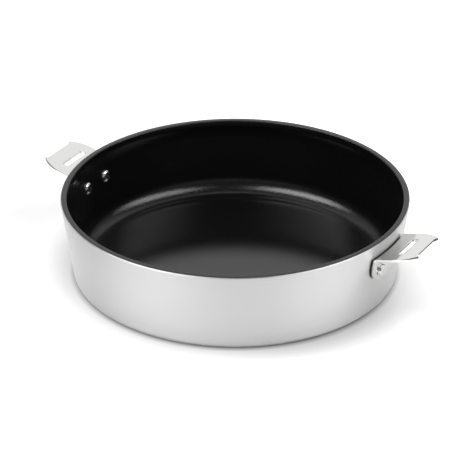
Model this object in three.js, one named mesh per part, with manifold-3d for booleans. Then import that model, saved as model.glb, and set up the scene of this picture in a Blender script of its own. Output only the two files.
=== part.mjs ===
// Saute pan: a drawn aluminium pan with a black non-stick inside, a steel induction disc let into its base
// and a riveted steel bracket on each side for a clip-on handle.
// Millimetres, +Z up. The origin is on the table under the middle of the pan, and the brackets lie along X.
import * as THREE from "three";
import { mergeVertices } from "three/addons/utils/BufferGeometryUtils.js";
import Module from "manifold-3d";

const wasm = await Module();
wasm.setup();

// Pan body
const RIM_DIAMETER = 291; // across the widest edge of the rim
const PAN_HEIGHT = 70;
const WALL_DRAFT = 7.8; // degrees that the wall leans outwards
const WALL_THICKNESS = 2.9; // of the aluminium, square to the wall
const RIM_THICKENING = 1.9; // that the rim adds to the wall, inwards
const RIM_BAND_HEIGHT = 5; // of the thickened rim
const RIM_BAND_TAPER = 6; // height over which it thins to the wall
const FLOOR_THICKNESS = 3.6;
const BASE_CORNER_RADIUS = 5; // outside, where the wall turns into the base
const FLOOR_FILLET_RADIUS = 16; // inside, between the coated floor and wall
const RIM_EDGE_RADIUS = 0.7; // inner edge of the aluminium rim
const RIM_BEVEL = 0.6; // bare bevel round the outer edge of the rim

// Non-stick coating
const COATING_THICKNESS = 0.4;
const COATING_GAP = 0.05; // between the coating and the aluminium

// Induction disc
const BASE_RING_WIDTH = 16; // bare aluminium that the pan stands on, outside the disc
const DISC_THICKNESS = 0.8;
const DISC_CLEARANCE = 0.3; // round the disc and above it

// Brackets
const BRACKET_WIDTH = 52.4;
const SHEET_THICKNESS = 2.3;
const FLANGE_HEIGHT = 23.2; // down the wall, from the corner of the bend
const FLANGE_TAPER = 1.7; // degrees that the sides of the flange draw in downwards
const FLANGE_CORNER_RADIUS = 14;
const BEND_RADIUS = 0.4; // inside the bend
const PLATE_DROP = 11.9; // from the rim down to the corner of the bend
const PLATE_TILT = 14.8; // degrees that the plate rises outwards
const PLATE_REACH = 34.6; // along the plate, from the corner of the bend to the tips
const SHOULDER_LENGTH = 20.4; // along the plate, over which its sides curve in to the tips
const TIP_INSET = 8.2; // from the side of the plate in to a tip of the fishtail
const HORN_WIDTH = 4.5; // from a tip in to the straight outer edge
const FISHTAIL_DEPTH = 2; // from the tips back to the straight outer edge
const SLOT_LENGTH = 29.2;
const SLOT_WIDTH = 5.6;
const SLOT_CORNER_RADIUS = 1.2;
const SLOT_OFFSET = 16.3; // along the plate, from the corner of the bend to the middle of the slot

// Rivets
const RIVET_INSET = 11.9; // from the side of the bracket in to the middle of a rivet
const RIVET_DROP = 13.9; // down the wall, from the corner of the bend
const SHANK_DIAMETER = 6;
const SHANK_CLEARANCE = 0.3; // round the shank
const HEAD_DIAMETER = 11; // domed head inside the pan
const HEAD_HEIGHT = 2.6;
const COLLAR_DIAMETER = 9; // between wall and flange
const COLLAR_HEIGHT = 0.35;
const BUTTON_DIAMETER = 10.5; // formed head outside the flange
const BUTTON_HEIGHT = 2.4;
const BUTTON_BEVEL = 0.5;
const SEAT_CLEARANCE = 0.3; // under both heads and on both sides of the collar

// Facets
const PAN_SEGMENTS = 72;
const RIVET_SEGMENTS = 20;
const CORNER_STEPS = 6;
const EDGE_STEPS = 2;
const BEND_STEPS = 6;
const FLANGE_STATIONS = 12;

const draft = THREE.MathUtils.degToRad(WALL_DRAFT);
const tilt = THREE.MathUtils.degToRad(PLATE_TILT);
const taper = THREE.MathUtils.degToRad(FLANGE_TAPER);
const rightAngle = Math.PI / 2;
const coatingInset = COATING_GAP + COATING_THICKNESS;
const bareRimHeight = PAN_HEIGHT - coatingInset;
const widestRadius = RIM_DIAMETER / 2;
const widestHeight = bareRimHeight - RIM_BEVEL;

// Colours and finishes
function finish(color, roughness, metalness) {
  return new THREE.MeshStandardMaterial({ color, roughness, metalness });
}
const satinAluminium = () => finish(0xcfd0d1, 0.38, 1);
const blackNonstick = () => finish(0x1c1c1d, 0.42, 0);
const magneticSteel = () => finish(0xb4b6b8, 0.45, 1);
const stainlessSteel = () => finish(0xd9dadb, 0.3, 1);
const polishedSteel = () => finish(0xe4e5e6, 0.15, 1);

// A solid for cutting and joining, from a closed geometry placed by a matrix.
function solid(geometry, matrix = new THREE.Matrix4()) {
  const shell = geometry.clone().applyMatrix4(matrix);
  shell.deleteAttribute("normal");
  shell.deleteAttribute("uv");
  const merged = mergeVertices(shell);
  const vertProperties = merged.getAttribute("position").array;
  const triVerts = Uint32Array.from(merged.index.array);
  return new wasm.Manifold(new wasm.Mesh({ numProp: 3, vertProperties, triVerts }));
}

function namedMesh(name, geometry, material) {
  const mesh = new THREE.Mesh(geometry, material);
  mesh.name = name;
  return mesh;
}

function meshOfSolid(name, body, material) {
  const { vertProperties, triVerts } = body.getMesh();
  const geometry = new THREE.BufferGeometry();
  geometry.setAttribute("position", new THREE.BufferAttribute(vertProperties, 3));
  geometry.setIndex(new THREE.BufferAttribute(triVerts, 1));
  return namedMesh(name, geometry, material);
}

const point = (x, y) => new THREE.Vector2(x, y);

// Points along a round stretch of a profile, both ends included.
function arc(centreX, centreY, radius, from, to, steps) {
  return new THREE.EllipseCurve(centreX, centreY, radius, radius, from, to, to < from).getPoints(steps);
}

// A body of revolution about Z, from a profile of radius and height.
const revolve = (profile) => new THREE.LatheGeometry(profile, PAN_SEGMENTS).rotateX(rightAngle);

// Radius of the outside of the wall at a height.
const wallRadius = (height) => widestRadius - (widestHeight - height) * Math.tan(draft);

// Radius of a surface that lies a given depth inside the outer wall, at a height.
const depthRadius = (depth, height) => wallRadius(height) - depth / Math.cos(draft);

// The rounded corner where a flat bottom at a height turns up into a surface of the wall.
function bottomCorner(depth, height, radius) {
  const centreRadius = depthRadius(depth + radius, height + radius);
  return arc(centreRadius, height + radius, radius, -rightAngle, -draft, CORNER_STEPS);
}

// Profile of the pan's inside, from the middle of the floor to the bevel of the rim.
// An inset of 0 is the bare aluminium, and larger insets lie above it, in the coating.
function insideProfile(inset) {
  const wallDepth = WALL_THICKNESS + inset;
  const rimDepth = wallDepth + RIM_THICKENING;
  const floorHeight = FLOOR_THICKNESS + inset;
  const rimHeight = bareRimHeight + inset;
  const edgeRadius = RIM_EDGE_RADIUS + inset;
  const edgeHeight = rimHeight - edgeRadius;
  const edgeCentre = depthRadius(rimDepth - edgeRadius, edgeHeight);
  const bandFoot = PAN_HEIGHT - RIM_BAND_HEIGHT;
  const taperFoot = bandFoot - RIM_BAND_TAPER;
  return [
    point(0, floorHeight),
    ...bottomCorner(wallDepth, floorHeight, FLOOR_FILLET_RADIUS + coatingInset - inset),
    point(depthRadius(wallDepth, taperFoot), taperFoot),
    point(depthRadius(rimDepth, bandFoot), bandFoot),
    ...arc(edgeCentre, edgeHeight, edgeRadius, Math.PI - draft, rightAngle, EDGE_STEPS),
    point(widestRadius - RIM_BEVEL, rimHeight),
  ];
}

// The pan: recess for the disc, standing ring, wall and rim, without its rivet holes.
const baseCorner = bottomCorner(0, 0, BASE_CORNER_RADIUS);
const recessRadius = baseCorner[0].x - BASE_RING_WIDTH;
const recessDepth = DISC_THICKNESS + DISC_CLEARANCE;
const panShell = revolve([
  point(0, recessDepth),
  point(recessRadius, recessDepth),
  point(recessRadius, 0),
  ...baseCorner,
  point(widestRadius, widestHeight),
  ...insideProfile(0).reverse(),
]);

// The coating: a thin lining of the floor, the wall and the top of the rim.
const coatingShell = revolve([...insideProfile(COATING_GAP), ...insideProfile(coatingInset).reverse()]);

// The induction disc, flush with the standing ring.
const discRadius = recessRadius - DISC_CLEARANCE;
const discShell = revolve([
  point(0, 0),
  point(discRadius, 0),
  point(discRadius, DISC_THICKNESS),
  point(0, DISC_THICKNESS),
]);

// Each rivet has a collar outside the wall, and the collars hold the flange of a bracket off the wall.
const cornerHeight = PAN_HEIGHT - PLATE_DROP;
const rivetHeight = cornerHeight - RIVET_DROP * Math.cos(draft);
const rivetRadius = wallRadius(rivetHeight);
const collarRadius = COLLAR_DIAMETER / 2;
const collarHollow = collarRadius ** 2 / (2 * rivetRadius);
const collarTop = SEAT_CLEARANCE + COLLAR_HEIGHT;
const flangeGap = collarTop + collarHollow + SEAT_CLEARANCE;

// A bracket bends where the top of its plate and the back of its flange would meet.
const cornerRadius = depthRadius(-flangeGap, cornerHeight);

// Spare sheet all round a bracket, before it is trimmed to its outlines.
const sheetMargin = BRACKET_WIDTH;

// Section of the bent sheet in the upright plane through the pan's axis, at an angle from the bracket's
// own. The flange follows the round wall and the plate is flat, so the corner sinks a little to the sides.
function sheetSection(angle) {
  const slope = Math.tan(tilt) * Math.cos(angle);
  const sag = cornerRadius * (1 - Math.cos(angle));
  const sink = (Math.tan(tilt) * sag) / (1 - slope * Math.tan(draft));
  const corner = point(cornerRadius - sink * Math.tan(draft), cornerHeight - sink);
  const plateAngle = Math.atan(slope);
  const alongPlate = point(Math.cos(plateAngle), Math.sin(plateAngle));
  const alongFlange = point(Math.sin(draft), Math.cos(draft));
  const belowPlate = point(alongPlate.y, -alongPlate.x).multiplyScalar(SHEET_THICKNESS);
  const outsideFlange = point(alongFlange.y, -alongFlange.x).multiplyScalar(SHEET_THICKNESS);
  const backRadius = BEND_RADIUS + SHEET_THICKNESS;
  const tangentLength = backRadius * Math.tan((rightAngle - draft - plateAngle) / 2);
  const bendStart = corner.clone().addScaledVector(alongFlange, -tangentLength);
  const bendCentre = bendStart.clone().addScaledVector(outsideFlange, backRadius / SHEET_THICKNESS);
  const bend = (radius) =>
    arc(bendCentre.x, bendCentre.y, radius, Math.PI - draft, rightAngle + plateAngle, BEND_STEPS);
  const flangeEnd = corner.clone().addScaledVector(alongFlange, -FLANGE_HEIGHT - sheetMargin);
  const plateEnd = corner.clone().addScaledVector(alongPlate, PLATE_REACH + sheetMargin);
  return [
    flangeEnd,
    ...bend(backRadius),
    plateEnd,
    plateEnd.clone().add(belowPlate),
    ...bend(BEND_RADIUS).reverse(),
    flangeEnd.clone().add(outsideFlange),
  ];
}

// A closed solid through sections that stand in upright planes at the given angles round the pan.
function loft(sectionAt, angles) {
  const sections = angles.map(sectionAt);
  const count = sections[0].length;
  const positions = angles.flatMap((angle, i) =>
    sections[i].flatMap((p) => [p.x * Math.cos(angle), p.x * Math.sin(angle), p.y]),
  );
  const index = [];
  for (let i = 0; i + 1 < angles.length; i++) {
    for (let j = 0; j < count; j++) {
      const here = i * count + j;
      const beside = i * count + ((j + 1) % count);
      index.push(here, beside, here + count, beside, beside + count, here + count);
    }
  }
  const last = (angles.length - 1) * count;
  for (const [a, b, c] of THREE.ShapeUtils.triangulateShape(sections[0], [])) {
    index.push(a, b, c, last + a, last + c, last + b);
  }
  const geometry = new THREE.BufferGeometry();
  geometry.setAttribute("position", new THREE.Float32BufferAttribute(positions, 3));
  geometry.setIndex(index);
  return geometry;
}

function roundedRectangle(centreX, centreY, width, height, radius) {
  const x = width / 2 - radius;
  const y = height / 2 - radius;
  const quarter = (signX, signY, from) =>
    arc(centreX + signX * x, centreY + signY * y, radius, from, from + rightAngle, EDGE_STEPS);
  return new THREE.Shape([
    ...quarter(1, 1, 0),
    ...quarter(-1, 1, rightAngle),
    ...quarter(-1, -1, Math.PI),
    ...quarter(1, -1, Math.PI + rightAngle),
  ]);
}

// Outline of the plate along it (x) and across it (y): parallel sides, curved shoulders, a fishtail edge.
function plateOutline() {
  const halfWidth = BRACKET_WIDTH / 2;
  const shoulderTurn = 2 * Math.atan(TIP_INSET / SHOULDER_LENGTH);
  const shoulderRadius = SHOULDER_LENGTH / Math.sin(shoulderTurn);
  const shoulderX = PLATE_REACH - SHOULDER_LENGTH;
  const shoulderY = halfWidth - shoulderRadius;
  const tipAngle = rightAngle - shoulderTurn;
  const hornTurn = 2 * Math.atan(FISHTAIL_DEPTH / HORN_WIDTH);
  const hornRadius = HORN_WIDTH / Math.sin(hornTurn);
  const hornX = PLATE_REACH - FISHTAIL_DEPTH + hornRadius;
  const hornY = halfWidth - TIP_INSET - HORN_WIDTH;
  const farHalf = [
    ...arc(hornX, hornY, hornRadius, Math.PI, Math.PI - hornTurn, EDGE_STEPS),
    ...arc(shoulderX, shoulderY, shoulderRadius, tipAngle, rightAngle, CORNER_STEPS),
    point(-FLANGE_HEIGHT - sheetMargin, halfWidth),
  ];
  const nearHalf = farHalf.map((p) => point(p.x, -p.y)).reverse();
  const outline = new THREE.Shape([...nearHalf, ...farHalf]);
  outline.holes.push(roundedRectangle(SLOT_OFFSET, 0, SLOT_WIDTH, SLOT_LENGTH, SLOT_CORNER_RADIUS));
  return outline;
}

// Outline of the flange across the wall (x) and up it (y), open upwards past the plate.
function flangeOutline() {
  const halfWidth = BRACKET_WIDTH / 2;
  const centreY = FLANGE_CORNER_RADIUS - FLANGE_HEIGHT;
  const centreX = halfWidth + centreY * Math.tan(taper) - FLANGE_CORNER_RADIUS / Math.cos(taper);
  const farHalf = [
    ...arc(centreX, centreY, FLANGE_CORNER_RADIUS, -rightAngle, -taper, CORNER_STEPS),
    point(halfWidth, 0),
    point(halfWidth, PLATE_REACH + sheetMargin),
  ];
  const nearHalf = farHalf.map((p) => point(-p.x, p.y)).reverse();
  return new THREE.Shape([...nearHalf, ...farHalf]);
}

// A straight prism through an outline, reaching equally to both sides of it.
function prism(outline) {
  const reach = PLATE_REACH + FLANGE_HEIGHT + sheetMargin;
  const options = { depth: 2 * reach, bevelEnabled: false };
  return new THREE.ExtrudeGeometry(outline, options).translate(0, 0, -reach);
}

// The place where a rivet crosses the outer wall, in the frame of its bracket. Its X axis leads out of the
// pan along the rivet, square to the wall, and the sign picks one of the bracket's two rivets.
const rivetSpread = Math.asin((BRACKET_WIDTH / 2 - RIVET_INSET) / rivetRadius);
function rivetSeat(sign) {
  return new THREE.Matrix4()
    .makeRotationZ(sign * rivetSpread)
    .multiply(new THREE.Matrix4().makeTranslation(rivetRadius, 0, rivetHeight))
    .multiply(new THREE.Matrix4().makeRotationY(draft));
}

// A body of revolution about the rivet's axis, from a profile of radius and distance out along it.
const turned = (profile) => new THREE.LatheGeometry(profile, RIVET_SEGMENTS).rotateZ(-rightAngle);

// The hole for a shank, right through coating, wall and flange.
const stackInside = WALL_THICKNESS + coatingInset;
const stackOutside = flangeGap + SHEET_THICKNESS;
const shankRadius = SHANK_DIAMETER / 2;
const holeRadius = shankRadius + SHANK_CLEARANCE;
const holeReach = stackInside + stackOutside + HEAD_HEIGHT + BUTTON_HEIGHT;
const rivetHole = turned([
  point(0, -holeReach),
  point(holeRadius, -holeReach),
  point(holeRadius, holeReach),
  point(0, holeReach),
]);

// A rivet: domed head on the coating, collar between wall and flange, flat button formed outside.
function rivetGeometry() {
  const headRadius = HEAD_DIAMETER / 2;
  const hollow = headRadius ** 2 / (2 * depthRadius(stackInside, rivetHeight));
  const headSeat = -stackInside - hollow - SEAT_CLEARANCE;
  const domeTurn = 2 * Math.atan(HEAD_HEIGHT / headRadius);
  const domeRadius = headRadius / Math.sin(domeTurn);
  const domeCentre = headSeat - HEAD_HEIGHT + domeRadius;
  const buttonRadius = BUTTON_DIAMETER / 2;
  const buttonSeat = stackOutside + SEAT_CLEARANCE;
  const buttonFace = buttonSeat + BUTTON_HEIGHT;
  return turned([
    ...arc(0, domeCentre, domeRadius, -rightAngle, domeTurn - rightAngle, CORNER_STEPS),
    point(shankRadius, headSeat),
    point(shankRadius, SEAT_CLEARANCE),
    point(collarRadius, SEAT_CLEARANCE),
    point(collarRadius, collarTop),
    point(shankRadius, collarTop),
    point(shankRadius, buttonSeat),
    point(buttonRadius, buttonSeat),
    point(buttonRadius, buttonFace - BUTTON_BEVEL),
    point(buttonRadius - BUTTON_BEVEL, buttonFace),
    point(0, buttonFace),
  ]);
}

// A bracket at the middle of +X: the bent sheet, trimmed to its two outlines and drilled for its rivets.
function bracketSolid() {
  const spread = Math.asin(BRACKET_WIDTH / wallRadius(0));
  const angles = Array.from(
    { length: FLANGE_STATIONS + 1 },
    (_, i) => spread * ((2 * i) / FLANGE_STATIONS - 1),
  );
  const sheet = solid(loft(sheetSection, angles));
  const atCorner = new THREE.Matrix4().makeTranslation(cornerRadius, 0, cornerHeight);
  const plateFrame = atCorner.clone().multiply(new THREE.Matrix4().makeRotationY(-tilt));
  const acrossWall = new THREE.Vector3(0, 1, 0);
  const upWall = new THREE.Vector3(Math.sin(draft), 0, Math.cos(draft));
  const outOfWall = new THREE.Vector3(Math.cos(draft), 0, -Math.sin(draft));
  const wallAxes = new THREE.Matrix4().makeBasis(acrossWall, upWall, outOfWall);
  const flangeFrame = atCorner.clone().multiply(wallAxes);
  const blank = sheet
    .intersect(solid(prism(plateOutline()), plateFrame))
    .intersect(solid(prism(flangeOutline()), flangeFrame));
  return [-1, 1].reduce((cut, sign) => cut.subtract(solid(rivetHole, rivetSeat(sign))), blank);
}

// The two sides of the pan, and the two rivets of each. Front is towards -Y.
const SIDES = [
  { name: "right", turn: 0, front: -1 },
  { name: "left", turn: Math.PI, front: 1 },
];
const ENDS = [
  { name: "front", along: 1 },
  { name: "back", along: -1 },
];

// Cuts the rivet holes of both brackets through a piece of the pan.
function drilled(shell) {
  let piece = solid(shell);
  for (const side of SIDES) {
    for (const end of ENDS) {
      const sideFrame = new THREE.Matrix4().makeRotationZ(side.turn);
      const seat = sideFrame.multiply(rivetSeat(side.front * end.along));
      piece = piece.subtract(solid(rivetHole, seat));
    }
  }
  return piece;
}

const pan = new THREE.Group();
pan.add(meshOfSolid("pan_body", drilled(panShell), satinAluminium()));
pan.add(meshOfSolid("nonstick_coating", drilled(coatingShell), blackNonstick()));
pan.add(namedMesh("induction_disc", discShell, magneticSteel()));

for (const side of SIDES) {
  const mounting = new THREE.Group();
  mounting.rotation.z = side.turn;
  mounting.add(meshOfSolid(`bracket_${side.name}`, bracketSolid(), stainlessSteel()));
  for (const end of ENDS) {
    const rivet = namedMesh(`rivet_${side.name}_${end.name}`, rivetGeometry(), polishedSteel());
    rivet.applyMatrix4(rivetSeat(side.front * end.along));
    mounting.add(rivet);
  }
  pan.add(mounting);
}

export default pan;
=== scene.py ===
import math

import bpy
from mathutils import Matrix, Vector


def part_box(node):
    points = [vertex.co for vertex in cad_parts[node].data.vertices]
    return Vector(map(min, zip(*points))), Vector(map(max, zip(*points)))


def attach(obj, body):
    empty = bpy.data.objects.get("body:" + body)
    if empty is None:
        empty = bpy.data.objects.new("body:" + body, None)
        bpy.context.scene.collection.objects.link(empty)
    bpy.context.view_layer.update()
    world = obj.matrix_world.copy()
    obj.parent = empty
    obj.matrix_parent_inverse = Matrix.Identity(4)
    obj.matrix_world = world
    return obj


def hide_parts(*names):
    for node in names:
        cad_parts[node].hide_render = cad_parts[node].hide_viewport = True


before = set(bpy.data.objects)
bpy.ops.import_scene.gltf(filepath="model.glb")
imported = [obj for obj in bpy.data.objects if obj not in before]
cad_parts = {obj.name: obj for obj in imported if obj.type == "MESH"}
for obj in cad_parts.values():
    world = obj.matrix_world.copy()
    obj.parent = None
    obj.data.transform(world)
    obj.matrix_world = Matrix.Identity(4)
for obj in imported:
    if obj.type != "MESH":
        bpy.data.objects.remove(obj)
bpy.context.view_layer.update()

# Camera: a long lens that looks down on the pan from its front right.
# It aims a little behind and to the left of the pan's middle, as the picture is framed.
LENS_MM = 175.42
VIEW_AZIMUTH = math.radians(30)
VIEW_ELEVATION = math.radians(28.19)
VIEW_DISTANCE = 1.9984
VIEW_TARGET = Vector((-0.02657, 0.04742, 0))


def direction(azimuth, elevation):
    """A unit vector from the pan: azimuth 0 leads to the front, -Y, and a right angle to the right, +X."""
    level = math.cos(elevation)
    return Vector((math.sin(azimuth) * level, -math.cos(azimuth) * level, math.sin(elevation)))


to_camera = direction(VIEW_AZIMUTH, VIEW_ELEVATION)
bpy.ops.object.camera_add(
    location=VIEW_TARGET + to_camera * VIEW_DISTANCE,
    rotation=to_camera.to_track_quat("Z", "Y").to_euler(),
)
camera = bpy.context.object
camera.data.lens = LENS_MM
bpy.context.scene.camera = camera
bpy.context.scene.view_settings.view_transform = "Standard"

# Pan body: a deep pan drawn from thick aluminium, its wall flared and its rim thickened inwards.
# The outside is satin finished, with fine lines round the pan, and the bare bevel of the rim is duller.
# The underside has a shallow recess for the steel disc, and four holes in the wall take the rivets.
body_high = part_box("pan_body")[1]
disc_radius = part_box("induction_disc")[1].x
RIM_RADIUS = body_high.x
BARE_RIM = body_high.z
RIM_BEVEL = 0.0006
WALL_DRAFT = math.radians(7.8)
WALL_THICKNESS = 0.0029
RIM_THICKENING = 0.0019
BAND_FOOT = 0.065
TAPER_FOOT = 0.059
BAND_RADIUS = 0.03
FLOOR_THICKNESS = 0.0036
BASE_CORNER_RADIUS = 0.005
FLOOR_FILLET_RADIUS = 0.01645
RECESS_DEPTH = 0.0011
DISC_CLEARANCE = 0.0003
EDGE_RADIUS = 0.0003
RIM_EDGE_RADIUS = 0.0007
PAN_STEPS = 240
EDGE_FACETS = 3
BASE_FACETS = 12
BAND_FACETS = 4
FILLET_FACETS = 8
MERGE_DISTANCE = 1e-6
SMOOTH_ANGLE = math.radians(30)


def wall_radius(height):
    """Radius of the outside of the wall at a height, which may be a number or a socket."""
    return RIM_RADIUS - (BARE_RIM - RIM_BEVEL - height) * math.tan(WALL_DRAFT)


def depth_radius(depth, height):
    """Radius of a surface that lies a depth inside the outer wall, at a height."""
    return wall_radius(height) - depth / math.cos(WALL_DRAFT)


def select_vertices(piece, chosen):
    """In edit mode, selects the vertices whose place is chosen and no others."""
    bpy.ops.mesh.select_all(action="DESELECT")
    bpy.ops.object.mode_set(mode="OBJECT")
    for vertex in piece.data.vertices:
        vertex.select = chosen(vertex.co)
    bpy.ops.object.mode_set(mode="EDIT")


def draw_profile(name, corners):
    """Draws an outline from corner to corner by extruding a vertex, then rounds its corners.

    A corner is its radius from the axis, its height, and its rounding radius with the facets of it, if any.
    """
    bpy.ops.object.select_all(action="DESELECT")
    bpy.ops.mesh.primitive_plane_add()
    piece = bpy.context.object
    piece.name = piece.data.name = name
    points = [Vector((corner[0], 0, corner[1])) for corner in corners]
    bpy.ops.object.mode_set(mode="EDIT")
    bpy.ops.mesh.select_mode(type="VERT")
    bpy.ops.mesh.select_all(action="SELECT")
    bpy.ops.mesh.merge(type="CENTER")
    bpy.ops.transform.translate(value=points[0])
    for here, there in zip(points, points[1:]):
        bpy.ops.mesh.extrude_region_move(TRANSFORM_OT_translate={"value": there - here})
    for i, corner in enumerate(corners):
        if len(corner) > 2:
            radius, facets = corner[2:]
            turn = (points[i] - points[i - 1]).angle(points[i + 1] - points[i])
            select_vertices(piece, lambda place: (place - points[i]).length < MERGE_DISTANCE)
            bpy.ops.mesh.bevel(
                offset=radius * math.tan(turn / 2),
                segments=facets,
                affect="VERTICES",
                clamp_overlap=True,
            )
    bpy.ops.object.mode_set(mode="OBJECT")
    return piece


def spin_round(piece, steps):
    """Spins an outline about the Z axis into a closed body of revolution."""
    bpy.ops.object.mode_set(mode="EDIT")
    bpy.ops.mesh.select_all(action="SELECT")
    bpy.ops.mesh.spin(steps=steps, angle=2 * math.pi, center=(0, 0, 0), axis=(0, 0, 1))
    bpy.ops.mesh.select_all(action="SELECT")
    bpy.ops.mesh.remove_doubles(threshold=MERGE_DISTANCE)
    bpy.ops.mesh.normals_make_consistent(inside=False)
    bpy.ops.object.mode_set(mode="OBJECT")


def make_active(piece):
    """Selects one piece alone and makes it the active one."""
    bpy.ops.object.select_all(action="DESELECT")
    piece.select_set(True)
    bpy.context.view_layer.objects.active = piece


def cut_away(piece, cutter):
    """Cuts a closed body out of a piece and removes the cutter."""
    make_active(piece)
    cut = piece.modifiers.new("cut", "BOOLEAN")
    cut.operation = "DIFFERENCE"
    cut.solver = "MANIFOLD"
    cut.object = cutter
    bpy.ops.object.modifier_apply(modifier=cut.name)
    bpy.data.objects.remove(cutter)
    bpy.ops.object.mode_set(mode="EDIT")
    bpy.ops.mesh.select_all(action="SELECT")
    bpy.ops.mesh.remove_doubles(threshold=MERGE_DISTANCE)
    bpy.ops.object.mode_set(mode="OBJECT")


# Each bracket has two rivets, placed by their angle round the pan.
# Their holes go through the coating, the wall and the flange.
RIVET_HEIGHT = 0.04433
RIVET_HALF_SPACING = 0.0143
HOLE_RADIUS = 0.0033
HOLE_LENGTH = 0.03
HOLE_SIDES = 48
rivet_spread = math.asin(RIVET_HALF_SPACING / wall_radius(RIVET_HEIGHT))
RIVETS = {
    "rivet_right_front": -rivet_spread,
    "rivet_right_back": rivet_spread,
    "rivet_left_front": math.pi + rivet_spread,
    "rivet_left_back": math.pi - rivet_spread,
}


def rivet_frame(angle):
    """A rivet's own frame, with Z along the rivet and out of the pan, and its start on the outer wall."""
    outwards = Matrix.Rotation(math.pi / 2 + WALL_DRAFT, 4, "Y")
    start = Matrix.Translation((wall_radius(RIVET_HEIGHT), 0, RIVET_HEIGHT))
    return Matrix.Rotation(angle, 4, "Z") @ start @ outwards


def drill_rivet_holes(piece, names):
    """Drills a piece for the rivets of these names."""
    for name in names:
        bpy.ops.mesh.primitive_cylinder_add(vertices=HOLE_SIDES, radius=HOLE_RADIUS, depth=HOLE_LENGTH)
        drill = bpy.context.object
        drill.matrix_world = rivet_frame(RIVETS[name])
        cut_away(piece, drill)


# The satin finish. The gap is the strip of wall behind a bracket, just under its bend.
# Little light comes in there, so the wall's colour is painted darker there as shade, and so is the back of
# the bracket's bend.
SATIN_COLOUR = (0.85, 0.85, 0.852)
BARE_ROUGHNESS = 0.5
SATIN_GLOSS = 0.1
SATIN_LINE_ROUGHNESS = 0.05
CLOUD_ROUGHNESS = 0.03
CLOUD_SCALE = 14
SATIN_LINE_SPACING = 0.0004
SATIN_LINE_LENGTH = 0.03
SATIN_BUMP = (0.06, 0.0001)
SATIN_STRETCH = 0.9
SATIN_STRETCH_TURN = 0.25
LINE_BREAKUP = 0.6
NOISE_DETAIL = 2
GAP_TOP = 0.0581
GAP_SAG = 0.97
GAP_DEPTH = 0.006
GAP_HALF_WIDTH = 0.0255
GAP_FADE = 0.001
PAINTED_GAP_SHADE = 0.8


class Socket:
    """An output in a node tree. Sums on sockets add Math nodes, and node() adds any other node."""

    def __init__(self, tree, output=None):
        self.tree = tree
        self.output = output

    def node(self, kind, settings=None, inputs=None, output=0):
        """Adds a node: its settings first, then the values or links of its sockets."""
        made = self.tree.nodes.new(kind)
        for name, value in (settings or {}).items():
            setattr(made, name, value)
        for name, value in (inputs or {}).items():
            if isinstance(value, Socket):
                self.tree.links.new(value.output, made.inputs[name])
            else:
                made.inputs[name].default_value = value
        return Socket(self.tree, made.outputs[output] if made.outputs else None)

    def beside(self, name):
        """Another output of the same node."""
        return Socket(self.tree, self.output.node.outputs[name])

    def maths(self, operation, first, second):
        """A Math node, also for the operations that have no sign of their own."""
        return self.node("ShaderNodeMath", {"operation": operation}, {0: first, 1: second})

    def __add__(self, other):
        return self.maths("ADD", self, other)

    def __radd__(self, other):
        return self.maths("ADD", other, self)

    def __sub__(self, other):
        return self.maths("SUBTRACT", self, other)

    def __rsub__(self, other):
        return self.maths("SUBTRACT", other, self)

    def __mul__(self, other):
        return self.maths("MULTIPLY", self, other)

    def __rmul__(self, other):
        return self.maths("MULTIPLY", other, self)

    def __pow__(self, other):
        return self.maths("POWER", self, other)


def new_material(name):
    """A material with an empty node tree, and a socket to add its nodes with."""
    material = bpy.data.materials.new(name)
    material.use_nodes = True
    material.node_tree.nodes.clear()
    return material, Socket(material.node_tree)


def finish_material(start, settings):
    """Ends a material with one shader of these settings."""
    shader = start.node("ShaderNodeBsdfPrincipled", {}, settings)
    start.node("ShaderNodeOutputMaterial", {}, {"Surface": shader})


def object_place(start):
    """The place on a piece, and its X, Y and Z."""
    place = start.node("ShaderNodeTexCoord", output="Object")
    x = start.node("ShaderNodeSeparateXYZ", {}, {"Vector": place})
    return place, x, x.beside("Y"), x.beside("Z")


def ramp(value, low, high, to_low=0, to_high=1, kind="LINEAR"):
    """Leads from one value to another while a value goes from low to high."""
    return value.node("ShaderNodeMapRange", {"interpolation_type": kind}, {
        "Value": value,
        "From Min": low,
        "From Max": high,
        "To Min": to_low,
        "To Max": to_high,
    })


def noise(place, scale, roughness=0.5):
    """Uneven spots, as a value from 0 to 1: about as many of them in a metre as the scale says."""
    return place.node("ShaderNodeTexNoise", {}, {
        "Vector": place,
        "Scale": scale,
        "Detail": NOISE_DETAIL,
        "Roughness": roughness,
    })


def bump(height, strength, distance):
    """A bumpy surface from a value, by its strength and the distance that the value stands for."""
    return height.node("ShaderNodeBump", {}, {"Strength": strength, "Distance": distance, "Height": height})


def darkened(colour, darkness):
    """A colour that is black where the darkness is 1."""
    return darkness.node("ShaderNodeVectorMath", {"operation": "SCALE"}, {0: colour, "Scale": 1 - darkness})


def turned_lines(start, spacing, length):
    """Fine lines round the Z axis, as a value from 0 to 1: their spacing and how far each runs."""
    _, x, y, z = object_place(start)
    along = (x * x + y * y) ** 0.5 + z
    stretched = start.node("ShaderNodeCombineXYZ", {}, {
        "X": x * (1 / length),
        "Y": y * (1 / length),
        "Z": along * (1 / spacing),
    })
    return noise(stretched, 1, LINE_BREAKUP)


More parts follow.
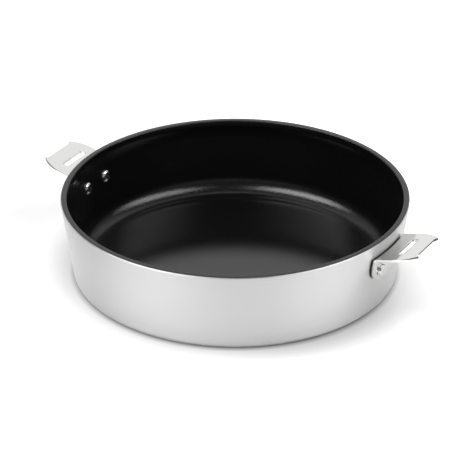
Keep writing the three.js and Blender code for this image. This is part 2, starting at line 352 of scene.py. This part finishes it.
def satin_aluminium():
    material, start = new_material("satin_aluminium")
    place, _, across, height = object_place(start)
    lines = turned_lines(start, SATIN_LINE_SPACING, SATIN_LINE_LENGTH)
    cloud = noise(place, CLOUD_SCALE)
    # Painted shade: the wall's colour is darkened in the gap under each bracket's bend, where little light
    # comes in.
    below_bend = GAP_TOP - GAP_SAG * across * across - height
    top = ramp(below_bend, -GAP_FADE / 2, GAP_FADE)
    bottom = ramp(below_bend, GAP_DEPTH + GAP_FADE, GAP_DEPTH)
    sides = ramp(start.maths("ABSOLUTE", across, 0), GAP_HALF_WIDTH + GAP_FADE / 2, GAP_HALF_WIDTH)
    below_bevel = (BARE_RIM - RIM_BEVEL - height) * (1 / EDGE_RADIUS)
    satin = start.node("ShaderNodeClamp", {}, {"Value": below_bevel})
    gloss = SATIN_GLOSS - SATIN_LINE_ROUGHNESS * lines - CLOUD_ROUGHNESS * cloud
    finish_material(start, {
        "Base Color": darkened(SATIN_COLOUR, PAINTED_GAP_SHADE * top * bottom * sides),
        "Metallic": 1,
        "Roughness": BARE_ROUGHNESS - satin * gloss,
        "Anisotropic": SATIN_STRETCH,
        "Anisotropic Rotation": SATIN_STRETCH_TURN,
        "Normal": bump(lines, *SATIN_BUMP),
    })
    return material


recess_radius = disc_radius + DISC_CLEARANCE
rim_depth = WALL_THICKNESS + RIM_THICKENING
body = draw_profile("pan_body_satin", [
    (0, RECESS_DEPTH),
    (recess_radius, RECESS_DEPTH),
    (recess_radius, 0, EDGE_RADIUS, EDGE_FACETS),
    (wall_radius(0), 0, BASE_CORNER_RADIUS, BASE_FACETS),
    (RIM_RADIUS, BARE_RIM - RIM_BEVEL, EDGE_RADIUS, EDGE_FACETS),
    (RIM_RADIUS - RIM_BEVEL, BARE_RIM, EDGE_RADIUS, EDGE_FACETS),
    (depth_radius(rim_depth, BARE_RIM), BARE_RIM, RIM_EDGE_RADIUS, BAND_FACETS),
    (depth_radius(rim_depth, BAND_FOOT), BAND_FOOT, BAND_RADIUS, BAND_FACETS),
    (depth_radius(WALL_THICKNESS, TAPER_FOOT), TAPER_FOOT, BAND_RADIUS, BAND_FACETS),
    (depth_radius(WALL_THICKNESS, FLOOR_THICKNESS), FLOOR_THICKNESS, FLOOR_FILLET_RADIUS, FILLET_FACETS),
    (0, FLOOR_THICKNESS),
])
spin_round(body, PAN_STEPS)
body.data.materials.append(satin_aluminium())
drill_rivet_holes(body, RIVETS)
make_active(body)
bpy.ops.object.shade_smooth_by_angle(angle=SMOOTH_ANGLE)
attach(body, "root")
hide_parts("pan_body")

# Induction disc: a thin disc of magnetic steel, pressed flush into the underside of the base.
# Its face is turned with fine rings, and its edges are just broken.
DISC_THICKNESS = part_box("induction_disc")[1].z
DISC_EDGE_RADIUS = 0.0002
DISC_EDGE_FACETS = 2
DISC_COLOUR = (0.60, 0.605, 0.61, 1)
DISC_ROUGHNESS = 0.3
RING_ROUGHNESS = 0.15
RING_SPACING = 0.0006
RING_LENGTH = 0.05
RING_BUMP = (0.15, 0.0002)


def turned_steel():
    material, start = new_material("turned_steel")
    rings = turned_lines(start, RING_SPACING, RING_LENGTH)
    finish_material(start, {
        "Base Color": DISC_COLOUR,
        "Metallic": 1,
        "Roughness": DISC_ROUGHNESS + RING_ROUGHNESS * rings,
        "Normal": bump(rings, *RING_BUMP),
    })
    return material


disc = draw_profile("induction_disc_turned", [
    (0, 0),
    (disc_radius, 0, DISC_EDGE_RADIUS, DISC_EDGE_FACETS),
    (disc_radius, DISC_THICKNESS, DISC_EDGE_RADIUS, DISC_EDGE_FACETS),
    (0, DISC_THICKNESS),
])
spin_round(disc, PAN_STEPS)
bpy.ops.object.shade_smooth_by_angle(angle=SMOOTH_ANGLE)
disc.data.materials.append(turned_steel())
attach(disc, "root")
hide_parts("induction_disc")

# Non-stick coating: a black lining sprayed over the floor, the wall and the top of the rim, and baked on.
# It is semi-gloss, smooth on the floor and rougher up the wall, with a fine grain.
# The grain shows where light glances off the rounded edge of the floor.
COATING_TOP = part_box("nonstick_coating")[1].z
COATING_GAP = 0.00005
COATING_EDGE_RADIUS = 0.0002
INSIDE_FACETS = 8
COATING_COLOUR = (0.004, 0.004, 0.0041, 1)
COATING_IOR = 1.5
FLOOR_ROUGHNESS = 0.07
WALL_ROUGHNESS = 0.16
GRAIN_ROUGHNESS = 0.04
FLOW_ROUGHNESS = 0.02
ROUGHER_HEIGHTS = (0.0045, 0.04)
ROUGHER_POWER = 0.4
GRAIN_SCALE = 900
FLOW_SCALE = 60
GRAIN_HEIGHTS = (0.0041, 0.007)
GRAIN_DEPTHS = (0.3, 1)
GRAIN_MIDDLE = 0.5
GRAIN_BUMP = (0.8, 0.0002)

coating_inset = COATING_TOP - BARE_RIM


def inside_corners(inset, facets):
    """Corners of the pan's inside, from the middle of the floor to the inner edge of the rim."""
    wall_depth = WALL_THICKNESS + inset
    band_depth = rim_depth + inset
    floor = FLOOR_THICKNESS + inset
    rim = BARE_RIM + inset
    fillet = FLOOR_FILLET_RADIUS - inset
    return [
        (0, floor),
        (depth_radius(wall_depth, floor), floor, fillet, 3 * facets),
        (depth_radius(wall_depth, TAPER_FOOT), TAPER_FOOT, BAND_RADIUS, facets),
        (depth_radius(band_depth, BAND_FOOT), BAND_FOOT, BAND_RADIUS, facets),
        (depth_radius(band_depth, rim), rim, RIM_EDGE_RADIUS + inset, facets),
    ]


def black_nonstick():
    material, start = new_material("black_nonstick")
    place, _, _, height = object_place(start)
    grain = noise(place, GRAIN_SCALE)
    flow = noise(place, FLOW_SCALE)
    upright = ramp(height, *ROUGHER_HEIGHTS) ** ROUGHER_POWER
    depth = ramp(height, *GRAIN_HEIGHTS, *GRAIN_DEPTHS, "SMOOTHSTEP")
    finish_material(start, {
        "Base Color": COATING_COLOUR,
        "Roughness": (
            FLOOR_ROUGHNESS + WALL_ROUGHNESS * upright + GRAIN_ROUGHNESS * grain + FLOW_ROUGHNESS * flow
        ),
        "IOR": COATING_IOR,
        "Normal": bump((grain - GRAIN_MIDDLE) * depth, *GRAIN_BUMP),
    })
    return material


coating = draw_profile("nonstick_coating_black", [
    *inside_corners(coating_inset, INSIDE_FACETS),
    (RIM_RADIUS - RIM_BEVEL, COATING_TOP, COATING_EDGE_RADIUS, EDGE_FACETS),
    (RIM_RADIUS - RIM_BEVEL, BARE_RIM + COATING_GAP),
    *reversed(inside_corners(COATING_GAP, BAND_FACETS)),
])
spin_round(coating, PAN_STEPS)
coating.data.materials.append(black_nonstick())
drill_rivet_holes(coating, RIVETS)
make_active(coating)
bpy.ops.object.shade_smooth_by_angle(angle=SMOOTH_ANGLE)
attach(coating, "root")
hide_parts("nonstick_coating")

# Brackets: each is stamped from stainless sheet, with a slot for a clip-on handle and a fishtail edge.
# It is folded in a press: its flange follows the wall, while its plate stays flat and rises outwards.
# Two rivets hold the flange, and their collars keep it about a millimetre off the wall.
SHEET_THICKNESS = 0.0023
BRACKET_HALF_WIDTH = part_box("bracket_right")[1].y
FLANGE_GAP = 0.00102
FLANGE_HEIGHT = 0.0232
FLANGE_TAPER = math.radians(1.7)
FLANGE_CORNER_RADIUS = 0.014
BEND_RADIUS = 0.0004
PLATE_DROP = 0.0119
PLATE_TILT = math.radians(14.8)
PLATE_REACH = 0.0346
SHOULDER_LENGTH = 0.0204
TIP_INSET = 0.0082
HORN_WIDTH = 0.0045
FISHTAIL_DEPTH = 0.002
SLOT_LENGTH = 0.0292
SLOT_WIDTH = 0.0056
SLOT_CORNER_RADIUS = 0.0012
SLOT_OFFSET = 0.0163
SLOT_FACETS = 5
PUNCH_HEIGHT = 10 * SHEET_THICKNESS
SHEET_EDGE_RADIUS = 0.0005
SLOT_EDGE_RADIUS = 0.00012
SHARP_ANGLE = math.radians(50)
STRAIGHT_ROWS = 6
CORNER_ROWS = 16
BEND_ROWS = 8
PLATE_ROWS = 11
FISHTAIL_ROWS = 10
SHEET_COLUMNS = 40
SHARE_DIGITS = 4
FLAT_REACH = 0.0115
SETTLING_ROUNDS = 6
STEEL_COLOUR = (0.83, 0.828, 0.82)
STEEL_ROUGHNESS = 0.09
STEEL_LINE_ROUGHNESS = 0.05
STEEL_LINES = (60, 2600, 60)
STEEL_BUMP = (0.05, 0.0001)
STEEL_GAP_HEIGHTS = (0.0012, 0.0002)

corner_height = COATING_TOP - PLATE_DROP
corner_radius = depth_radius(-FLANGE_GAP, corner_height)
back_radius = BEND_RADIUS + SHEET_THICKNESS


def flange_place(below_corner, bend_share, across):
    """A point on the back of the flange, or of the bend when a share of its arc is given.

    Its radius and its angle round the pan depend on each other, and settle in a few rounds.
    """
    up_wall = Vector((math.sin(WALL_DRAFT), math.cos(WALL_DRAFT)))
    off_wall = Vector((math.cos(WALL_DRAFT), -math.sin(WALL_DRAFT)))
    radius = corner_radius
    for _ in range(SETTLING_ROUNDS):
        angle = math.asin(across / radius)
        slope = math.tan(PLATE_TILT) * math.cos(angle)
        rise = math.tan(PLATE_TILT) * corner_radius * (1 - math.cos(angle))
        sink = rise / (1 - slope * math.tan(WALL_DRAFT))
        corner = Vector((corner_radius - sink * math.tan(WALL_DRAFT), corner_height - sink))
        turn = math.pi / 2 - WALL_DRAFT - math.atan(slope)
        tangent = back_radius * math.tan(turn / 2)
        bend_start = corner - up_wall * tangent
        turned = turn * bend_share
        place = bend_start - up_wall * max(below_corner - tangent, 0)
        place += off_wall * back_radius * (1 - math.cos(turned)) + up_wall * back_radius * math.sin(turned)
        radius = place.x
    return Vector((math.sqrt(radius**2 - across**2), across, place.y))


def plate_place(along, across):
    """A point on the top of the plate: along it from the corner of the bend, and across from the middle."""
    radius = corner_radius + along * math.cos(PLATE_TILT)
    height = corner_height + along * math.sin(PLATE_TILT)
    return Vector((radius, across, height))


def flange_rows():
    """Each row of the flange, from its lower edge up: how far below the corner, and its half width."""
    centre = FLANGE_HEIGHT - FLANGE_CORNER_RADIUS
    side = BRACKET_HALF_WIDTH - centre * math.tan(FLANGE_TAPER)
    centre_across = side - FLANGE_CORNER_RADIUS / math.cos(FLANGE_TAPER)
    arc_end = math.pi / 2 + FLANGE_TAPER
    for i in range(CORNER_ROWS):
        angle = arc_end * i / CORNER_ROWS
        below = centre + FLANGE_CORNER_RADIUS * math.cos(angle)
        yield below, centre_across + FLANGE_CORNER_RADIUS * math.sin(angle)
    straight = centre - FLANGE_CORNER_RADIUS * math.sin(FLANGE_TAPER)
    for i in range(STRAIGHT_ROWS):
        below = straight + (back_radius - straight) * i / STRAIGHT_ROWS
        yield below, BRACKET_HALF_WIDTH - below * math.tan(FLANGE_TAPER)


def plate_half_width(along):
    """Half the plate's width: parallel sides, then shoulders that curve in to the tips."""
    turn = 2 * math.atan(TIP_INSET / SHOULDER_LENGTH)
    radius = SHOULDER_LENGTH / math.sin(turn)
    into_shoulder = max(along - PLATE_REACH + SHOULDER_LENGTH, 0)
    return BRACKET_HALF_WIDTH - radius + math.sqrt(radius**2 - into_shoulder**2)


def plate_end(share):
    """How far the plate reaches at a share of its half width: straight, then out along the horns."""
    turn = 2 * math.atan(FISHTAIL_DEPTH / HORN_WIDTH)
    radius = HORN_WIDTH / math.sin(turn)
    tip = BRACKET_HALF_WIDTH - TIP_INSET
    along_horn = max(abs(share) * tip - tip + HORN_WIDTH, 0)
    return PLATE_REACH - FISHTAIL_DEPTH + radius - math.sqrt(radius**2 - along_horn**2)


def sheet_rows(share):
    """The places down one line of the sheet, from the flange's lower edge to the plate's outer edge."""
    for below, half_width in flange_rows():
        yield flange_place(below, 0, share * half_width)
    across = share * BRACKET_HALF_WIDTH
    for i in range(BEND_ROWS + 1):
        yield flange_place(0, i / BEND_ROWS, across)
    bend_end = (flange_place(0, 1, across).x - corner_radius) / math.cos(PLATE_TILT)
    for i in range(1, PLATE_ROWS + 1):
        along = bend_end + (FLAT_REACH - bend_end) * i / PLATE_ROWS
        yield plate_place(along, across)
    for i in range(1, FISHTAIL_ROWS + 1):
        along = FLAT_REACH + (plate_end(share) - FLAT_REACH) * i / FISHTAIL_ROWS
        side_along = FLAT_REACH + (PLATE_REACH - FLAT_REACH) * i / FISHTAIL_ROWS
        yield plate_place(along, share * plate_half_width(side_along))


def soften_edges(piece, width):
    """Rounds the edges of a sheet that are still sharp."""
    soften = piece.modifiers.new("soften", "BEVEL")
    soften.width = width
    soften.segments = EDGE_FACETS
    soften.limit_method = "ANGLE"
    soften.angle_limit = SHARP_ANGLE
    bpy.ops.object.modifier_apply(modifier=soften.name)


def slot_punch():
    """The punch that cuts the slot: a block with rounded upright edges, square to the plate."""
    bpy.ops.mesh.primitive_cube_add(size=1)
    punch = bpy.context.object
    punch.scale = (SLOT_WIDTH, SLOT_LENGTH, PUNCH_HEIGHT)
    bpy.ops.object.transform_apply(scale=True)
    bpy.ops.object.mode_set(mode="EDIT")
    bpy.ops.mesh.select_mode(type="EDGE")
    bpy.ops.mesh.select_all(action="DESELECT")
    bpy.ops.object.mode_set(mode="OBJECT")
    for edge in punch.data.edges:
        ends = [punch.data.vertices[i].co for i in edge.vertices]
        edge.select = abs(ends[0].z - ends[1].z) > SHEET_THICKNESS
    bpy.ops.object.mode_set(mode="EDIT")
    bpy.ops.mesh.bevel(offset=SLOT_CORNER_RADIUS, segments=SLOT_FACETS, affect="EDGES")
    bpy.ops.mesh.select_mode(type="VERT")
    bpy.ops.object.mode_set(mode="OBJECT")
    punch.location = plate_place(SLOT_OFFSET, 0)
    punch.rotation_euler = (0, -PLATE_TILT, 0)
    return punch


def press_bracket(name, material):
    """A flat blank, ruled into rows and columns, pressed to shape, thickened, slotted and softened."""
    rows = len(list(sheet_rows(0)))
    bpy.ops.object.select_all(action="DESELECT")
    bpy.ops.mesh.primitive_grid_add(x_subdivisions=rows - 1, y_subdivisions=SHEET_COLUMNS, size=2)
    piece = bpy.context.object
    piece.name = piece.data.name = name
    piece.data.materials.append(material)
    lines = {}
    for vertex in piece.data.vertices:
        share = round(vertex.co.y, SHARE_DIGITS)
        if share not in lines:
            lines[share] = list(sheet_rows(share))
        row = round((vertex.co.x + 1) / 2 * (rows - 1))
        vertex.co = lines[share][row]
    bpy.ops.object.mode_set(mode="EDIT")
    bpy.ops.mesh.select_all(action="SELECT")
    bpy.ops.mesh.normals_make_consistent(inside=False)
    bpy.ops.object.mode_set(mode="OBJECT")
    if piece.data.polygons[-1].normal.z < 0:
        piece.data.flip_normals()
    thicken = piece.modifiers.new("sheet", "SOLIDIFY")
    thicken.thickness = SHEET_THICKNESS
    thicken.offset = -1
    thicken.use_even_offset = True
    bpy.ops.object.modifier_apply(modifier=thicken.name)
    soften_edges(piece, SHEET_EDGE_RADIUS)
    cut_away(piece, slot_punch())
    soften_edges(piece, SLOT_EDGE_RADIUS)
    return piece


def satin_stainless():
    material, start = new_material("satin_stainless")
    place, x, y, height = object_place(start)
    stretched = start.node("ShaderNodeVectorMath", {"operation": "MULTIPLY"}, {0: place, 1: STEEL_LINES})
    lines = noise(stretched, 1)
    off_wall = (x * x + y * y) ** 0.5 - wall_radius(height)
    # Painted shade: the steel's colour is darkened where it lies within about a millimetre of the gap off
    # the wall, at the back of the bend and the flange's edges.
    painted_shade_in_gap = ramp(off_wall, *(FLANGE_GAP + above for above in STEEL_GAP_HEIGHTS))
    finish_material(start, {
        "Base Color": darkened(STEEL_COLOUR, PAINTED_GAP_SHADE * painted_shade_in_gap),
        "Metallic": 1,
        "Roughness": STEEL_ROUGHNESS + STEEL_LINE_ROUGHNESS * lines,
        "Normal": bump(lines, *STEEL_BUMP),
    })
    return material


bracket = press_bracket("bracket_right_pressed", satin_stainless())
drill_rivet_holes(bracket, ["rivet_right_front", "rivet_right_back"])
make_active(bracket)
bpy.ops.object.shade_smooth_by_angle(angle=SMOOTH_ANGLE)
bpy.ops.object.duplicate()
bracket_twin = bpy.context.object
bracket_twin.name = bracket_twin.data.name = "bracket_left_pressed"
bracket_twin.rotation_euler.z = math.pi
bpy.ops.object.transform_apply(rotation=True)
for piece, node in ((bracket, "bracket_right"), (bracket_twin, "bracket_left")):
    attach(piece, "root")
    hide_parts(node)

# Rivets: polished steel, with a low domed head on the coating inside and a collar between wall and flange.
# The outer end is formed into a flat button on the flange, with a faint dimple left by the tool.
SHANK_RADIUS = 0.003
HEAD_RADIUS = 0.0055
HEAD_HEIGHT = 0.0026
COLLAR_RADIUS = 0.0045
BUTTON_RADIUS = 0.00525
BUTTON_HEIGHT = 0.0024
BUTTON_EDGE_RADIUS = 0.0006
DIMPLE_RADIUS = 0.0016
DIMPLE_DEPTH = 0.0002
SEAT_CLEARANCE = 0.00005
DOME_POINTS = 14
SEAT_FACETS = 2
BUTTON_FACETS = 5
DIMPLE_FACETS = 4
RIVET_STEPS = 64
POLISH_COLOUR = (0.86, 0.86, 0.86, 1)
POLISH_ROUGHNESS = 0.09
MARK_ROUGHNESS = 0.08
MARK_SCALE = 1500

inner_stack = WALL_THICKNESS + coating_inset
head_hollow = HEAD_RADIUS**2 / (2 * depth_radius(inner_stack, RIVET_HEIGHT))
head_seat = -inner_stack - head_hollow - SEAT_CLEARANCE
collar_top = FLANGE_GAP - COLLAR_RADIUS**2 / (2 * wall_radius(RIVET_HEIGHT)) - SEAT_CLEARANCE
button_seat = FLANGE_GAP + SHEET_THICKNESS + SEAT_CLEARANCE
button_face = button_seat + BUTTON_HEIGHT


def polished_steel():
    material, start = new_material("polished_steel")
    place = object_place(start)[0]
    marks = noise(place, MARK_SCALE)
    finish_material(start, {
        "Base Color": POLISH_COLOUR,
        "Metallic": 1,
        "Roughness": POLISH_ROUGHNESS + MARK_ROUGHNESS * marks,
    })
    return material


dome_angles = [math.pi / 2 * i / DOME_POINTS for i in range(DOME_POINTS)]
rivet_outline = [
    *((HEAD_RADIUS * math.sin(angle), head_seat - HEAD_HEIGHT * math.cos(angle)) for angle in dome_angles),
    (HEAD_RADIUS, head_seat),
    (SHANK_RADIUS, head_seat),
    (SHANK_RADIUS, SEAT_CLEARANCE),
    (COLLAR_RADIUS, SEAT_CLEARANCE),
    (COLLAR_RADIUS, collar_top),
    (SHANK_RADIUS, collar_top),
    (SHANK_RADIUS, button_seat),
    (BUTTON_RADIUS, button_seat, EDGE_RADIUS, SEAT_FACETS),
    (BUTTON_RADIUS, button_face, BUTTON_EDGE_RADIUS, BUTTON_FACETS),
    (DIMPLE_RADIUS, button_face, BUTTON_EDGE_RADIUS, DIMPLE_FACETS),
    (0, button_face - DIMPLE_DEPTH),
]
polished = polished_steel()
for node, angle in RIVETS.items():
    rivet = draw_profile(node + "_polished", rivet_outline)
    spin_round(rivet, RIVET_STEPS)
    bpy.ops.object.shade_smooth_by_angle(angle=SMOOTH_ANGLE)
    rivet.matrix_world = rivet_frame(angle)
    bpy.ops.object.transform_apply(location=True, rotation=True, scale=True)
    rivet.data.materials.append(polished)
    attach(rivet, "root")
    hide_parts(node)

# Studio: a white table in a dim room, with a pale wall behind and a big oval lamp on each side of the pan.
# The lamps lean over the pan, and low down in front of it the room is grey.
# To the camera the table and the room show white, with the pan's soft shadow on the table: partly cast by
# the lamps, and partly painted, as shade close round the pan and as a glow that varies round it.
WHITE = (1, 1, 1, 1)
FLOOR_SIZE = 24
TABLE_WHITE = 0.88
TABLE_GLOW = 0.52
GLOW_RIGHT = 0.12
GLOW_FRONT = 0.06
GLOW_FRONT_RIGHT = 0.4
SHADOW_REACH = (0.35, 1.5)
TABLE_REACH = 0.285
TABLE_END = 1.25 * TABLE_REACH
TABLE_REST = 0.06
REACH_FRONT = 0.42
REACH_RIGHT = 0.4
MIRRORED_REACH = (0.15, 0.35)
MIRRORED_GLOW = (0.08, 0.76)
MIRRORED_SHARE = 0.27
CREVICE = 0.036
CREVICE_DEPTH = 1.6
CONTACT = 0.005
CONTACT_DEPTH = 0.55
OPENNESS_SAMPLES = 16


def side_share(bearing, azimuth):
    """How far a bearing leads to a side: 1 straight to it, 0 across, and -1 straight away from it."""
    return bearing.node(
        "ShaderNodeVectorMath",
        {"operation": "DOT_PRODUCT"},
        {0: bearing, 1: direction(azimuth, 0)},
        output="Value",
    )


def openness(start, distance):
    """How open a place on the table is, from 0 to 1, to what stands within a distance of it."""
    settings = {"samples": OPENNESS_SAMPLES}
    return start.node("ShaderNodeAmbientOcclusion", settings, {"Distance": distance}, output="AO")


def white_table():
    material, start = new_material("white_table")
    seen = start.node("ShaderNodeLightPath", output="Is Camera Ray")
    mirrored = seen.beside("Is Glossy Ray")
    place = start.node("ShaderNodeTexCoord", output="Object")
    away = start.node("ShaderNodeVectorMath", {"operation": "LENGTH"}, {0: place}, output="Value")
    bearing = start.node("ShaderNodeVectorMath", {"operation": "NORMALIZE"}, {0: place})
    front = side_share(bearing, VIEW_AZIMUTH)
    right = side_share(bearing, VIEW_AZIMUTH + math.pi / 2)
    # In mirrors the table is painted dark beyond a reach round the pan, which reaches further to the front
    # and the right.
    rightward = start.maths("MAXIMUM", right, 0)
    oval = 1 - REACH_FRONT * front * front - REACH_RIGHT * rightward * rightward
    near = ramp(away * oval ** 0.5, TABLE_REACH, TABLE_END, 1, TABLE_REST)
    # Painted shade: the table's colour, and its glow at the foot, is darkened where the pan stands close
    # over it, by how open each place is; fully for the camera, partly in mirrors.
    crevice_painted_shade = openness(start, CREVICE) ** (CREVICE_DEPTH * (seen + MIRRORED_SHARE * mirrored))
    contact_painted_shade = openness(start, CONTACT) ** (CONTACT_DEPTH * (seen + mirrored))
    shade = TABLE_WHITE * crevice_painted_shade * contact_painted_shade * (1 - mirrored + mirrored * near)
    matt = start.node("ShaderNodeBsdfDiffuse", {}, {"Color": shade})
    # Painted light and shade: the glow is brighter to the right and dimmer in front and to the front right,
    # and grows with distance from the pan, which shapes the pan's soft shadow on the table.
    lean = TABLE_GLOW + GLOW_RIGHT * right - GLOW_FRONT * front - GLOW_FRONT_RIGHT * right * front
    far = ramp(away, *SHADOW_REACH, lean)
    # In mirrors the table also glows, more the further it is from the pan up to that reach: a painted light
    # seen only in reflections.
    shown = ramp(away, *MIRRORED_REACH, *MIRRORED_GLOW)
    glow = start.node("ShaderNodeEmission", {}, {
        "Color": WHITE,
        "Strength": contact_painted_shade * (seen * far + mirrored * near * shown),
    })
    both = start.node("ShaderNodeAddShader", {}, {0: matt, 1: glow})
    start.node("ShaderNodeOutputMaterial", {}, {"Surface": both})
    return material


bpy.ops.object.select_all(action="DESELECT")
bpy.ops.mesh.primitive_plane_add(size=FLOOR_SIZE)
table = bpy.context.object
table.name = "table"
table.data.materials.append(white_table())

# The lamps, each by its azimuth from the camera's, its elevation and its radiance.
LAMPS = {
    "lamp_left": (math.radians(-73), math.radians(56), 7.2),
    "lamp_right": (math.radians(75), math.radians(47), 4.7),
}
LAMP_DISTANCE = 3.2
LAMP_LENGTH = 2.8
LAMP_WIDTH = 1.4
LAMP_DIP = math.radians(55)
lamp_area = math.pi / 4 * LAMP_LENGTH * LAMP_WIDTH
leaning = direction(VIEW_AZIMUTH, LAMP_DIP)
for name, (azimuth, elevation, radiance) in LAMPS.items():
    towards = direction(VIEW_AZIMUTH + azimuth, elevation)
    along = (leaning - towards * leaning.dot(towards)).normalized()
    bpy.ops.object.light_add(type="AREA", location=towards * LAMP_DISTANCE)
    lamp = bpy.context.object
    lamp.name = name
    lamp.rotation_euler = Matrix((along, towards.cross(along), towards)).transposed().to_euler()
    lamp.data.shape = "ELLIPSE"
    lamp.data.size = LAMP_LENGTH
    lamp.data.size_y = LAMP_WIDTH
    lamp.data.energy = radiance * math.pi * lamp_area
    lamp.visible_camera = False

# The room: a dim ceiling, the pale wall behind the pan and the grey low down in front of it.
ROOM_DIM = (0.02, 0.18)
ROOM_DIM_HEIGHTS = (0.2, 0.8)
ROOM_PALE = 0.92
ROOM_FRONT = 0.34
ROOM_EDGES = (0.2, 0.8)
ROOM_FRONT_TOP = (0.25, 0.6)
DIFFUSE_CUT = 0.7
JUST_OVER_ONE = 1.001
world = bpy.data.worlds.new("room")
bpy.context.scene.world = world
world.use_nodes = True
world.node_tree.nodes.clear()
room = Socket(world.node_tree)
seen = room.node("ShaderNodeLightPath", output="Is Camera Ray")
look = room.node("ShaderNodeTexCoord", output="Generated")
height = room.node("ShaderNodeSeparateXYZ", {}, {"Vector": look}).beside("Z")
level = (JUST_OVER_ONE - height * height) ** 0.5
turned = room.maths("DIVIDE", side_share(look, VIEW_AZIMUTH + math.pi), level)
wall = ramp(turned, *ROOM_EDGES, kind="SMOOTHSTEP")
dim = ramp(height, *ROOM_DIM_HEIGHTS, *ROOM_DIM, "SMOOTHSTEP")
front = ramp(0 - turned, *ROOM_EDGES, 0, ROOM_FRONT, "SMOOTHSTEP")
low = ramp(height, *ROOM_FRONT_TOP, 1, 0, "SMOOTHSTEP")
lit = 1 - DIFFUSE_CUT * seen.beside("Is Diffuse Ray")
strength = seen + (1 - seen) * lit * (wall * ROOM_PALE + (1 - wall) * dim + front * low)
backdrop = room.node("ShaderNodeBackground", {}, {"Color": WHITE, "Strength": strength})
room.node("ShaderNodeOutputWorld", {}, {"Surface": backdrop})

bpy.context.view_layer.update()
